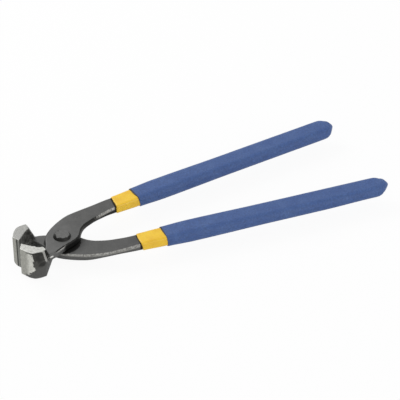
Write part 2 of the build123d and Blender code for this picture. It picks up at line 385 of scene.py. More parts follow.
def jaw_shade(tree, here):
    """Layers of painted shade: the jaw's upright outside, the dark band and the patch."""
    at_jaw = add(tree, "ShaderNodeMapRange",
                 {"Value": here.x, "From Min": outside_from, "From Max": outside_from - 2})
    band = add(tree, "ShaderNodeMath", (here.wander, 5.0, here.height), operation="MULTIPLY_ADD")
    band = add(tree, "ShaderNodeMapRange",
               {"Value": band, "From Min": shaded_above, "From Max": shaded_above + 3})
    depth = add(tree, "ShaderNodeMath", (here.height, -0.022, here.wander), operation="MULTIPLY_ADD")
    depth = add(tree, "ShaderNodeMath", (depth, 0.1), operation="ADD")
    shade_tones = add(tree, "ShaderNodeValToRGB", (depth,),
                stops=[(0.32, "#1C1C19"), (0.48, "#2E2E2A"), (0.62, "#454541")])
    patch = add(tree, "ShaderNodeMapRange",
                {"Value": oval(tree, here, **SHADE_PATCH), "From Min": 1.1, "From Max": 0.6})
    return [((at_jaw, here.upright), "#50504E"), ((band, at_jaw), shade_tones),
            ((patch, at_jaw, here.upright), "#1C1C19")]


def scale_in_hollow(tree, here):
    """Layer: streaks of scale on the upright faces inside the jaw."""
    hollow = add(tree, "ShaderNodeMapRange",
                 {"Value": here.x, "From Min": hollow_from, "From Max": hollow_from - 2})
    inner = add(tree, "ShaderNodeMapRange",
                {"Value": here.aside, "From Min": hollow_half + 0.5, "From Max": hollow_half - 0.5})
    streaks = add(tree, "ShaderNodeValToRGB", (here.wander,),
                  stops=[(0.35, "#2E2E2B"), (0.5, "#4E4E4B"), (0.65, "#6A6A67")])
    return [((hollow, inner, here.upright), streaks)]


print("soot patch:", SHADE_PATCH)

# %% [markdown]
# A pale band along the long upper edges is a painted highlight. The band follows the edge, which
# is high at the joint and comes down to the bar's own face along the shank. It is narrower near the
# joint and breaks off in places.

# %% Painted highlight on the edges
band_full, band_gone = 1.8, 3.0       # below the edge: highlighted all over, and no longer highlighted
near_joint, past_joint = 4.0, 24.0    # X between which the band reaches its width
narrower_by = 0.7
band_wander = 2.2            # how far the band's border strays


def edge_highlight(tree, here, edge_from, edge_to, edge_high, highlight_colour):
    """Where the painted highlight lies along the edges, and its speckled colour."""
    below = add(tree, "ShaderNodeMapRange", {"Value": here.x, "From Min": edge_from, "From Max": edge_to,
                                             "To Min": edge_high, "To Max": bar_thickness / 2})
    below = add(tree, "ShaderNodeMath", (below, here.height), operation="SUBTRACT")
    below = add(tree, "ShaderNodeMath", (here.drift, band_wander, below), operation="MULTIPLY_ADD")
    narrower = add(tree, "ShaderNodeMapRange", {
        "Value": here.x, "From Min": near_joint, "From Max": past_joint,
        "To Min": narrower_by, "To Max": 0.0})
    below = add(tree, "ShaderNodeMath", (below, narrower), operation="ADD")
    highlight = add(tree, "ShaderNodeMapRange", {"Value": below, "From Min": band_gone, "From Max": band_full})
    off_flat = add(tree, "ShaderNodeMapRange", {"Value": here.level, "From Min": 0.97, "From Max": 0.80})
    patchy = add(tree, "ShaderNodeMapRange", {"Value": here.wander, "From Min": 0.1, "From Max": 0.4})
    for share in (off_flat, here.behind_jaw, patchy):
        highlight = add(tree, "ShaderNodeMath", (highlight, share), operation="MULTIPLY")
    speckled = add(tree, "ShaderNodeValToRGB", (here.ragged,),
                   stops=[(0.34, "#72716E"), (0.48, "#92918D"), (0.6, highlight_colour)])
    return highlight, speckled


print("rubbed band:", band_full, "to", band_gone, "mm")

# %% [markdown]
# Painted shade, nearly black, lies on the walls from the joint to the shank and over their rounded
# edges, in a thin line along the cheek's edge, on the cheek's nose, and all over the round of the
# lap. The lower part of the wall behind the joint is left without it.

# %% Painted shade on the walls
shade_from, shade_to = -4.0, 36.0          # X from the joint to the shank
shade_wander = 6.0                       # how far these borders stray
line_from, line_to = -11.5, 0.0        # X of the thin line, from the jaw to the lap
climb_from, climb_to = 13.0, 17.0      # X where the unshaded part begins, and where it is highest
fall_from, fall_to = 29.0, 35.0        # X where it drops again, and where it ends
unshaded_up_to = 1.2                      # its height where it is highest
below_all_walls = -9.0                     # a height below all of the wall
nose_half = 11.0                       # half of the width of the cheek's nose
nose_front = -15.5                     # and its X


def oil_on_walls(tree, here, highlight):
    """Where painted shade lies on the walls, their edges and the nose of the cheek."""
    off_flat = add(tree, "ShaderNodeMath", (here.drift, 0.12, here.level), operation="MULTIPLY_ADD")
    off_flat = add(tree, "ShaderNodeMapRange", {"Value": off_flat, "From Min": 0.98, "From Max": 0.93})
    along = add(tree, "ShaderNodeMath", (here.drift, shade_wander, here.x), operation="MULTIPLY_ADD")
    starts = add(tree, "ShaderNodeMapRange",
                 {"Value": along, "From Min": shade_from, "From Max": shade_from + 3})
    ends = add(tree, "ShaderNodeMapRange", {"Value": along, "From Min": shade_to, "From Max": shade_to - 6})
    on_edge = add(tree, "ShaderNodeMath", (off_flat, ends), operation="MULTIPLY")
    on_wall = add(tree, "ShaderNodeMath", (1.0, highlight), operation="SUBTRACT")
    on_wall = add(tree, "ShaderNodeMath", (here.wall, on_wall), operation="MULTIPLY")
    painted_shade = add(tree, "ShaderNodeMath", (on_edge, on_wall), operation="MAXIMUM")
    painted_shade = add(tree, "ShaderNodeMath", (painted_shade, starts), operation="MULTIPLY")

    # painted shade in a thin line along the cheek's rounded edge
    line = add(tree, "ShaderNodeMapRange",
               {"Value": along, "From Min": line_from, "From Max": line_from + 2})
    leaning = add(tree, "ShaderNodeMapRange", {"Value": here.level, "From Min": 0.45, "From Max": 0.6})
    before_lap = add(tree, "ShaderNodeMapRange",
                     {"Value": here.x, "From Min": line_to, "From Max": line_to - 3})
    for share in (off_flat, leaning, before_lap):
        line = add(tree, "ShaderNodeMath", (line, share), operation="MULTIPLY")
    painted_shade = add(tree, "ShaderNodeMath", (painted_shade, line), operation="MAXIMUM")

    # no painted shade below a line that climbs behind the joint and drops again along the shank
    climb = add(tree, "ShaderNodeMapRange", {"Value": here.x, "From Min": climb_from, "From Max": climb_to,
                                             "To Min": below_all_walls, "To Max": unshaded_up_to})
    fall = add(tree, "ShaderNodeMapRange", {"Value": here.x, "From Min": fall_from, "From Max": fall_to,
                                            "To Min": 0.0, "To Max": below_all_walls})
    unshaded = add(tree, "ShaderNodeMath", (climb, fall), operation="ADD")
    unshaded = add(tree, "ShaderNodeMath", (here.height, unshaded), operation="SUBTRACT")
    still_shaded = add(tree, "ShaderNodeMapRange", {"Value": unshaded, "From Min": -0.6, "From Max": 0.4})
    painted_shade = add(tree, "ShaderNodeMath", (painted_shade, still_shaded), operation="MULTIPLY")

    # painted shade on the nose of the cheek, in front of the rivet
    nose = add(tree, "ShaderNodeMapRange",
               {"Value": here.aside, "From Min": nose_half + 0.5, "From Max": nose_half - 0.5})
    behind_front = add(tree, "ShaderNodeMapRange",
                       {"Value": here.x, "From Min": nose_front, "From Max": nose_front + 0.5})
    for share in (here.upright, behind_front):
        nose = add(tree, "ShaderNodeMath", (nose, share), operation="MULTIPLY")
    return add(tree, "ShaderNodeMath", (painted_shade, nose), operation="MAXIMUM")


print("oil from X", shade_from, "to", shade_to, "mm")

# %% [markdown]
# Painted shade covers the round of the lap. Part of it lies beside the upper lever's cheek, where
# the lower lever shows, and the rest shows once the tool is opened, so it is finished like the rest.
# At the far end of the steel, a painted shadow lies in a dark line where the handle's coat begins.

# %% Painted shade in the lap, and painted shadow by the coat
lap_radius = 12.9
lap_edge = 0.5        # how far the shaded round reaches above and below the middle plane


def shade_in_lap(tree, here):
    """Where painted shade lies over the round of the lap."""
    in_plan = add(tree, "ShaderNodeVectorMath", (here.in_mm, (1, 1, 0)), operation="MULTIPLY")
    from_axis = add(tree, "ShaderNodeVectorMath", (in_plan,), operation="LENGTH")
    from_axis = add(tree, "ShaderNodeMath", (here.drift, 1.5, from_axis), operation="MULTIPLY_ADD")
    lap = add(tree, "ShaderNodeMapRange",
              {"Value": from_axis, "From Min": lap_radius + 0.5, "From Max": lap_radius})
    off_plane = add(tree, "ShaderNodeMath", (here.height,), operation="ABSOLUTE")
    near_plane = add(tree, "ShaderNodeMapRange",
                     {"Value": off_plane, "From Min": lap_edge + 0.3, "From Max": lap_edge})
    return add(tree, "ShaderNodeMath", (lap, near_plane), operation="MULTIPLY")


def shadow_by_coat(tree, here, coat_edge, coat_slant):
    """Where a painted shadow lies against the edge of the handle's coat, coat_edge along the handle."""
    handle = along_handle(tree, here.in_mm)
    to_coat = add(tree, "ShaderNodeMath", (handle["Y"], -coat_slant, handle["X"]), operation="MULTIPLY_ADD")
    to_coat = add(tree, "ShaderNodeMath", (here.drift, 1.0, to_coat), operation="MULTIPLY_ADD")
    return add(tree, "ShaderNodeMapRange",
               {"Value": to_coat, "From Min": coat_edge - 1.5, "From Max": coat_edge - 1.0})


print("lap is oily to", lap_radius, "mm from the rivet's axis")

# %% [markdown]
# Behind the jaw a slanted edge gets a painted highlight, and the crease behind it painted shade.
# The corner of the flank beside it gets a painted glint.

# %% Painted highlight, shade and glint behind the jaw
edge_lean = 0.22                       # how much the slanted edge leans forward with height
edge_half = 0.95                       # half of the width of the painted highlight
edge_above = 1.0                       # height from which it is bright
crease_from, crease_to = 0.5, 4.2      # behind the edge: where the crease starts and ends
flank_from = 13.6                      # how far to the side the outer flank starts
CORNER_GLINT = dict(x=-14.5, height=3.1, half_length=2.7, half_height=1.0, raggedness=2.5)


def corner_glint(tree, here):
    """Layer: the painted glint on the flank's corner."""
    glint = add(tree, "ShaderNodeMapRange",
                {"Value": oval(tree, here, **CORNER_GLINT), "From Min": 0.85, "From Max": 0.55})
    outer = add(tree, "ShaderNodeMapRange",
                {"Value": here.aside, "From Min": flank_from + 0.6, "From Max": flank_from + 1})
    return [((glint, outer), "#E2E1DD")]


def edge_light_and_crease_shade(tree, here):
    """Where the crease is, and two layers: painted shade in the crease, and the painted highlight on the
    edge over it.
    """
    past_edge = add(tree, "ShaderNodeMath", (here.height, edge_lean, here.x), operation="MULTIPLY_ADD")
    past_edge = add(tree, "ShaderNodeMath", (past_edge, jaw_edge_x), operation="SUBTRACT")
    past_edge = add(tree, "ShaderNodeMath", (here.drift, 0.8, past_edge), operation="MULTIPLY_ADD")
    outer = add(tree, "ShaderNodeMapRange",
                {"Value": here.aside, "From Min": flank_from, "From Max": flank_from + 0.4})

    crease_shade = add(tree, "ShaderNodeMapRange",
                 {"Value": past_edge, "From Min": crease_from, "From Max": crease_from + 0.5})
    crease_end = add(tree, "ShaderNodeMapRange",
                     {"Value": past_edge, "From Min": crease_to, "From Max": crease_to - 1.6})
    crease_low = add(tree, "ShaderNodeMath", (here.drift, 12.0, here.height), operation="MULTIPLY_ADD")
    crease_low = add(tree, "ShaderNodeMapRange", {"Value": crease_low, "From Min": -3.0, "From Max": 1.0})
    for share in (crease_end, crease_low, outer):
        crease_shade = add(tree, "ShaderNodeMath", (crease_shade, share), operation="MULTIPLY")
    crease_tones = add(tree, "ShaderNodeMath", (here.height, -0.03, here.ragged), operation="MULTIPLY_ADD")
    crease_tones = add(tree, "ShaderNodeValToRGB", (crease_tones,),
                stops=[(0.3, "#1E1E1C"), (0.42, "#3A3A38"), (0.52, "#7A7A77")])

    edge = add(tree, "ShaderNodeMapRange",
               {"Value": past_edge, "From Min": -edge_half, "From Max": 0.25 - edge_half})
    edge_end = add(tree, "ShaderNodeMapRange",
                   {"Value": past_edge, "From Min": edge_half, "From Max": edge_half - 0.25})
    edge_low = add(tree, "ShaderNodeMapRange",
                   {"Value": here.height, "From Min": edge_above, "From Max": edge_above + 1.2})
    return crease_shade, [((crease_shade,), crease_tones), ((edge, edge_end, edge_low, outer), "#A3A29E")]


print("knocked corner:", CORNER_GLINT)

# %% [markdown]
# Ground metal comes last, because the belt cuts through everything else: the upper end of the
# jaw, and its cutting facets as far back as a wandering border. Skin creeps in over the back
# corner of the end.

# %% Where the metal is ground
facets_to = -25.6            # X of the border, before it wanders
end_reach = 17.0             # how far to the side the ground end reaches, where no skin creeps in
back_from, back_to = -25.0, -21.0      # X between which skin creeps in over the back corner
recede_from, recede_to = -3.0, -9.0    # heights between which the facets draw back


def ground_places(tree, here, creep, recede_by):
    """Shares of the ground end alone, and of all ground metal."""
    end = add(tree, "ShaderNodeMapRange",
              {"Value": here.height, "From Min": ground_end - 0.25, "From Max": ground_end - 0.05})
    crept = add(tree, "ShaderNodeMath", (here.drift, 1.6, here.aside), operation="MULTIPLY_ADD")
    back_corner = add(tree, "ShaderNodeMapRange",
                      {"Value": here.x, "From Min": back_from, "From Max": back_to, "To Max": -creep})
    crept = add(tree, "ShaderNodeMath", (crept, back_corner), operation="ADD")
    crept = add(tree, "ShaderNodeMapRange",
                {"Value": crept, "From Min": end_reach + 0.3 - creep, "From Max": end_reach - creep})
    end = add(tree, "ShaderNodeMath", (end, crept), operation="MULTIPLY")

    bulge = add(tree, "ShaderNodeMapRange",
                {"Value": here.height, "From Min": 3.0, "From Max": -2.0, "To Max": -1.5})
    recede = add(tree, "ShaderNodeMapRange", {
        "Value": here.height, "From Min": recede_from, "From Max": recede_to, "To Max": recede_by})
    border = add(tree, "ShaderNodeMath", (here.wander, 5.5, here.x), operation="MULTIPLY_ADD")
    border = add(tree, "ShaderNodeMath", (here.drift, 3.6, border), operation="MULTIPLY_ADD")
    for shift in (bulge, recede):
        border = add(tree, "ShaderNodeMath", (border, shift), operation="ADD")
    facets = add(tree, "ShaderNodeMapRange",
                 {"Value": border, "From Min": facets_to, "From Max": facets_to - 0.5})
    outwards = add(tree, "ShaderNodeMapRange",
                   {"Value": here.forward, "From Min": -0.15, "From Max": -0.35})
    facets = add(tree, "ShaderNodeMath", (facets, outwards), operation="MULTIPLY")
    return end, add(tree, "ShaderNodeMath", (end, facets), operation="MAXIMUM")


print("facets are ground to X", facets_to)

# %% [markdown]
# Belt-ground steel is pale and a little granular. The front of the facets is painted duller as
# shade, a narrow strip along the cutting edge is painted darker still as shade, and a painted dark
# line of shade parts it from the rest. A ragged painted shadow runs under the ground end of one jaw.

# %% Colour of the ground metal
dark_line_at = 3.85             # from the plane in which the cutting edges meet to the painted dark line
front_from = -30.3           # X in front of which the facets are painted duller, as shade
burr_shadow_front, burr_shadow_back = -32.0, -26.5   # X of the ends of the painted shadow under the end
burr_shadow_depth = 1.5             # how far below the ground end it still shows


def bare_metal(tree, here, end, end_colour):
    """Colour of ground metal: facets with painted shade on their front, on the strip by the edge and in a
    dark line, a painted shadow under the end, and the jaw's end.
    """
    front = add(tree, "ShaderNodeMapRange",
                {"Value": here.x, "From Min": front_from, "From Max": front_from - 1.6})
    shaded_land = add(tree, "ShaderNodeMapRange",
                {"Value": here.aside, "From Min": dark_line_at + 0.05, "From Max": dark_line_at - 0.25})
    from_dark_line = add(tree, "ShaderNodeMath", (here.aside, dark_line_at), operation="SUBTRACT")
    from_dark_line = add(tree, "ShaderNodeMath", (from_dark_line,), operation="ABSOLUTE")
    dark_line = add(tree, "ShaderNodeMapRange", {"Value": from_dark_line, "From Min": 0.7, "From Max": 0.3})
    under_end = add(tree, "ShaderNodeMath", (ground_end, here.height), operation="SUBTRACT")
    under_end = add(tree, "ShaderNodeMath", (here.drift, 3.0, under_end), operation="MULTIPLY_ADD")
    burr_shadow = add(tree, "ShaderNodeMapRange",
               {"Value": under_end, "From Min": burr_shadow_depth, "From Max": burr_shadow_depth - 0.5})
    burr_shadow_from = add(tree, "ShaderNodeMapRange",
                    {"Value": here.x, "From Min": burr_shadow_front, "From Max": burr_shadow_front + 0.5})
    burr_shadow_to = add(tree, "ShaderNodeMapRange",
                  {"Value": here.x, "From Min": burr_shadow_back, "From Max": burr_shadow_back - 1})
    near_jaw = add(tree, "ShaderNodeMapRange", {"Value": here.y, "From Min": 0.0, "From Max": -1.0})
    # painted shade on the front facets, the strip and the dark line, and a painted shadow under the end
    bare = lay(tree, linear("#C6C6BF"), [
        ((front,), "#9C9C95"), ((shaded_land,), "#7C7D78"), ((dark_line,), "#3A3B38"),
        ((burr_shadow, burr_shadow_from, burr_shadow_to, near_jaw), "#5E5F5B"), ((end,), end_colour)])
    granular = add(tree, "ShaderNodeMath", (here.grain, here.ragged), operation="ADD")
    shade = add(tree, "ShaderNodeMapRange", {"Value": granular, "From Min": 0.75, "From Max": 1.25,
                                             "To Min": 0.80, "To Max": 1.18})
    return add(tree, "ShaderNodeVectorMath", {0: bare, "Scale": shade}, operation="SCALE")


print("groove at", dark_line_at, "mm")

# %% [markdown]
# Now the stack is put together. The oxide counts as 0.4 of a metal, which keeps its sheen soft.
# Bare steel is all metal, and so are the places with painted shade and painted shadow: a dark metal
# gives no pale gloss, so they stay nearly black. Ground metal is also smoother. The relief is that of
# shallow forging pits, drawn coarser than the real ones so that they show.

# %% Steel for the two levers
oxide_metallic = 0.4
oxide_roughness, ground_roughness = 0.55, 0.42
pit_depth = 0.06 * MM


def blackened_steel(name, end_colour, creep, recede_by, shaded, shank_shade, highlight_colour,
                    edge_from, edge_to, edge_high, coat_edge, coat_slant):
    """Steel for one lever.

    end_colour is its ground end's, which differs between the levers only as painted shade; skin creeps
    over that end by creep, and the facets draw back by recede_by lower down. shaded is 1 where painted
    shade lies on the walls, shank_shade is the shank's tone with its painted shade, and highlight_colour
    the brightest of the painted edge highlights. The upper edge goes from edge_high at X edge_from to
    the bar's face at edge_to. The coat begins at coat_edge, leaning by coat_slant.
    """
    material, tree = empty_material(name)
    here = survey(tree)
    highlight, speckled = edge_highlight(tree, here, edge_from, edge_to, edge_high, highlight_colour)
    painted_shade = add(tree, "ShaderNodeMath", (oil_on_walls(tree, here, highlight), shaded), operation="MULTIPLY")
    painted_shade = add(tree, "ShaderNodeMath", (painted_shade, shade_in_lap(tree, here)), operation="MAXIMUM")
    coat_shadow = shadow_by_coat(tree, here, coat_edge, coat_slant)
    crease_shade, edge_light_and_shade = edge_light_and_crease_shade(tree, here)
    end, ground = ground_places(tree, here, creep, recede_by)
    # painted light and shade in this stack: the walls' darker grey, the jaw's shade, the edge highlight,
    # the shade on walls and lap, the shadow by the coat, the glint, the crease and edge, and parts of the
    # ground metal
    layers = [((here.wall,), "#535352"), *jaw_shade(tree, here), *scale_in_hollow(tree, here),
              ((highlight,), speckled), ((painted_shade,), "#2C2C2B"), ((coat_shadow,), "#2B2824"),
              *corner_glint(tree, here), *edge_light_and_shade,
              ((ground,), bare_metal(tree, here, end, end_colour))]
    colour = lay(tree, oxide(tree, here, shank_shade), layers)

    full_metal = painted_shade
    for share in (crease_shade, coat_shadow, ground):
        full_metal = add(tree, "ShaderNodeMath", (full_metal, share), operation="MAXIMUM")
    metallic = add(tree, "ShaderNodeMapRange", {"Value": full_metal, "To Min": oxide_metallic})
    rough = add(tree, "ShaderNodeMapRange",
                {"Value": ground, "To Min": oxide_roughness, "To Max": ground_roughness})
    pits = add(tree, "ShaderNodeBump", {"Height": here.grain, "Strength": 0.5, "Distance": pit_depth})
    shader = add(tree, "ShaderNodeBsdfPrincipled", {
        "Base Color": colour, "Metallic": metallic, "Roughness": rough, "Normal": pits})
    add(tree, "ShaderNodeOutputMaterial", {"Surface": shader})
    print(f"{name}: {len(layers)} layers, {len(tree.nodes)} nodes")
    return material


# %% [markdown]
# The upper lever carries painted shade on its walls and brighter painted edge highlights. The lower
# one has darker painted shade along its shank and a darker ground end, and its facets were ground further
# down.

# %% Finish the two levers
def give_finish(node, material):
    """Put one material on a CAD node."""
    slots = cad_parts[node].data.materials
    slots.clear()
    slots.append(material)


# the two ground end colours, shank tones and edge highlights differ here as painted shade and light
give_finish("upper_lever", blackened_steel(
    "black_oxide_forged_steel_upper", end_colour="#AFAFAB", creep=1.1, recede_by=4.8, shaded=1.0,
    shank_shade=0.66, highlight_colour="#C4C3BF", edge_from=10.0, edge_to=42.0, edge_high=5.5,
    coat_edge=50.2, coat_slant=0.19))
give_finish("lower_lever", blackened_steel(
    "black_oxide_forged_steel_lower", end_colour="#969693", creep=0.0, recede_by=1.5, shaded=0.0,
    shank_shade=0.50, highlight_colour="#A8A7A3", edge_from=20.0, edge_to=48.0, edge_high=0.0,
    coat_edge=49.2, coat_slant=0.0))

# %% [markdown]
# ## The rivet
# The rivet is the same black steel. Its low cone of a head keeps a grey flat top, while its slope
# all round is painted nearly black as shade, so the eye reads a dark ring with a grey centre. The
# ring is dented, and a little wider towards the jaws.

# %% Steel for the rivet
flat_top_radius = 4.7
dent_depth = 0.05 * MM

rivet_steel, tree = empty_material("black_oxide_rivet_steel")
in_mm = in_millimetres(tree)
in_plan = add(tree, "ShaderNodeVectorMath", (in_mm, (1, 1, 0)), operation="MULTIPLY")
from_axis = add(tree, "ShaderNodeVectorMath", (in_plan,), operation="LENGTH")
grain = add(tree, "ShaderNodeTexNoise", {"Vector": in_mm, "Scale": 1 / 0.9, "Detail": 3})
dents = add(tree, "ShaderNodeTexNoise", {"Vector": in_mm, "Scale": 1 / 1.8, "Detail": 2})
dents = add(tree, "ShaderNodeMath", (dents, 0.5), operation="SUBTRACT")
uneven = add(tree, "ShaderNodeMath", (dents, 4.5, from_axis), operation="MULTIPLY_ADD")
backwards = add(tree, "ShaderNodeSeparateXYZ", (in_mm,)).outputs["X"]
uneven = add(tree, "ShaderNodeMath", (backwards, -0.08, uneven), operation="MULTIPLY_ADD")
flat_top = add(tree, "ShaderNodeMapRange",
               {"Value": uneven, "From Min": flat_top_radius + 0.4, "From Max": flat_top_radius})
unshaded = add(tree, "ShaderNodeValToRGB", (grain,),
            stops=[(0.3, "#525251"), (0.5, "#585857"), (0.75, "#666665")])
# painted shade: the head's slope is nearly black all round, and the flat top keeps its grey
colour = lay(tree, linear("#2A2A29"), [((flat_top,), unshaded)])
metallic = add(tree, "ShaderNodeMapRange", {"Value": flat_top, "To Min": 1.0, "To Max": oxide_metallic})
relief = add(tree, "ShaderNodeBump", {"Height": grain, "Strength": 0.4, "Distance": dent_depth})
shader = add(tree, "ShaderNodeBsdfPrincipled", {
    "Base Color": colour, "Metallic": metallic, "Roughness": 0.5, "Normal": relief})
add(tree, "ShaderNodeOutputMaterial", {"Surface": shader})
give_finish("pivot_rivet", rivet_steel)
print("rivet finish", rivet_steel.name)

# %% [markdown]
# ## Dipped PVC
# The coats are plastisol: liquid PVC that gels on the hot bar and is cured in an oven. It comes
# out evenly coloured, slightly rubbery and satin, never mirror-like. A fine orange-peel and a
# little change of tone are all that break it up. The yellow shines a little. The blue is worn
# matt and specked by the hand, and its lip is darkened by a painted shadow. Orange-peel and specks
# are drawn about a millimetre wide, coarser than they are, so that they show.

# %% Yellow and blue PVC
peel_size, peel_depth = 0.9, 0.05 * MM
speck_size, cloud_size = 1.3, 9


def dipped_pvc(name, shades, roughness, specked, lip_shadow_to=0.0):
    """PVC in three shades, from deep to pale, with specks that shift its tone by up to specked.

    Its lip is darkened by a painted shadow as far as lip_shadow_to millimetres along the handle.
    """
    material, tree = empty_material(name)
    in_mm = in_millimetres(tree)
    clouds = add(tree, "ShaderNodeTexNoise",
                 {"Vector": in_mm, "Scale": 1 / cloud_size, "Detail": 3, "Roughness": 0.55})
    tone = add(tree, "ShaderNodeValToRGB", (clouds,), stops=list(zip((0.3, 0.5, 0.7), shades)))
    handle = along_handle(tree, in_mm)
    # painted shadow: the blue's lip is darkened where it steps up from the yellow
    lip = add(tree, "ShaderNodeMapRange",
              {"Value": handle["X"], "From Min": lip_shadow_to, "From Max": lip_shadow_to - 0.4})
    tone = lay(tree, tone, [((lip,), "#2B3040")])
    specks = add(tree, "ShaderNodeTexNoise",
                 {"Vector": in_mm, "Scale": 1 / speck_size, "Detail": 2, "Roughness": 0.7})
    specks = add(tree, "ShaderNodeMapRange", {"Value": specks, "From Min": 0.3, "From Max": 0.7,
                                              "To Min": 1 - specked, "To Max": 1 + specked})
    tone = add(tree, "ShaderNodeVectorMath", {0: tone, "Scale": specks}, operation="SCALE")
    peel = add(tree, "ShaderNodeTexNoise", {"Vector": in_mm, "Scale": 1 / peel_size, "Detail": 2})
    relief = add(tree, "ShaderNodeBump", {"Height": peel, "Strength": 0.35, "Distance": peel_depth})
    rough = add(tree, "ShaderNodeMapRange",
                {"Value": peel, "To Min": roughness - 0.08, "To Max": roughness + 0.08})
    shader = add(tree, "ShaderNodeBsdfPrincipled", {
        "Base Color": tone, "Roughness": rough, "IOR": 1.5, "Normal": relief})
    add(tree, "ShaderNodeOutputMaterial", {"Surface": shader})
    return material


yellow_pvc = dipped_pvc("dipped_pvc_yellow", ("#E6B624", "#EDC028", "#F1C830"),
                        roughness=0.38, specked=0.04)
blue_pvc = dipped_pvc("dipped_pvc_blue", ("#334F85", "#385489", "#3E598C"),
                      roughness=0.6, specked=0.22, lip_shadow_to=67.9)
print("PVC:", yellow_pvc.name, blue_pvc.name)

# %% [markdown]
# ## The coats
# A dipped coat has no shape of its own: it is the bar's skin moved outwards by the thickness of
# the PVC. So the coat is made by a rule. Take a loose cage round the bar, find for each of its
# points the nearest point of the bar's core, which is a flat slab a little smaller than the bar,
# and go back out from there by the edge radius plus the coat. That rounds every edge the
# way liquid does. The free edge is not square to the bar, because the tool
# hangs a little crooked in the bath, and it ends in a soft lip. At the far end the last
# drop sets as a blunt nose.
#
# Geometry Nodes fit well: a flat grid is bent into the coat, its rows run along the bar and its
# columns round it. Half of the rows make the inside, the other half the outside, so the
# sheet closes on itself at the lip and at the two poles. The inputs are the sizes in which one
# coat differs from another, in millimetres.

# %% Inputs of the coat rule
COAT_INPUTS = {
    "Start": 50.0, "Slant Across": 0.0, "Slant Up": 0.0, "Ripple": 0.2, "Seed": 0.0,
    "Inner Coat": 0.0, "First Coat": 0.75, "Full Coat": 1.16, "Swell Coat": 1.16, "Swell Length": 20.0,
    "Lip": 0.8, "Roundness": 0.0, "Unevenness": 0.05, "End Coat": 1.16, "End Rise": 0.0,
    "End Slant": 0.0, "Tip": 240.0, "Nose": 0.0, "Nose Up": 0.0, "Turned Over": 0.0,
}
drop_length = 2.8                      # of the last drop, past the end of the blue coat
grip_coat = 2.03                       # thickness of both coats on the bar's flat faces
bar_end = grip_tip - drop_length - grip_coat
print(len(COAT_INPUTS), "inputs; the bar ends", round(bar_end, 2), "mm along the handle")

# %% [markdown]
# First the grid. Its X runs from -1, inside the tip, through 0, the free edge, to 1, outside the
# tip, and its Y is the angle round the bar. A wave of noise, the same on both sides of the
# free edge, makes that edge ripple gently.

# %% The grid and its free edge
row_count, column_count = 241, 97
ripple_scale = 1.3


def flat_grid(tree, given):
    """The grid, and what each of its points is told: its row, its side, its angle and the edge."""
    sheet = SimpleNamespace()
    sheet.grid = add(tree, "GeometryNodeMeshGrid", {
        "Size X": 2.0, "Size Y": 2 * pi, "Vertices X": row_count, "Vertices Y": column_count})
    spot = add(tree, "GeometryNodeInputPosition")
    spot = add(tree, "ShaderNodeSeparateXYZ", (spot,)).outputs
    sheet.row = add(tree, "ShaderNodeMath", (spot["X"],), operation="ABSOLUTE")
    sheet.outside = add(tree, "ShaderNodeMath", (spot["X"], 0.0), operation="GREATER_THAN")
    sheet.across = add(tree, "ShaderNodeMath", (spot["Y"],), operation="COSINE")
    sheet.up = add(tree, "ShaderNodeMath", (spot["Y"],), operation="SINE")

    ring = add(tree, "ShaderNodeCombineXYZ", (sheet.across, sheet.up, given["Seed"]))
    ripple = add(tree, "ShaderNodeTexNoise", {"Vector": ring, "Scale": ripple_scale, "Detail": 1.0})
    ripple = add(tree, "ShaderNodeMath", (ripple, 0.5), operation="SUBTRACT")
    ripple = add(tree, "ShaderNodeMath", (ripple, given["Ripple"]), operation="MULTIPLY")
    edge = add(tree, "ShaderNodeMath", (sheet.across, given["Slant Across"], given["Start"]),
               operation="MULTIPLY_ADD")
    edge = add(tree, "ShaderNodeMath", (sheet.up, given["Slant Up"], edge), operation="MULTIPLY_ADD")
    sheet.edge = add(tree, "ShaderNodeMath", (ripple, 2.0, edge), operation="MULTIPLY_ADD")
    return sheet


print("grid of", row_count, "by", column_count)

# %% [markdown]
# The cage is a wide oval tube round the bar. Its rows crowd together at the free edge, where the lip
# needs them, and the last fifth or so turns round the tip.

# %% The cage
straight_rows = 0.78         # share of the rows that lies along the bar
crowding = 1.9
cage_nose = 9.0              # how far the cage bulges past the round end of the bar
cage_gap = 2                 # and how far it stands off the bar's faces
rounding_length = 6.0        # behind the free edge, until a thick coat is fully rounded


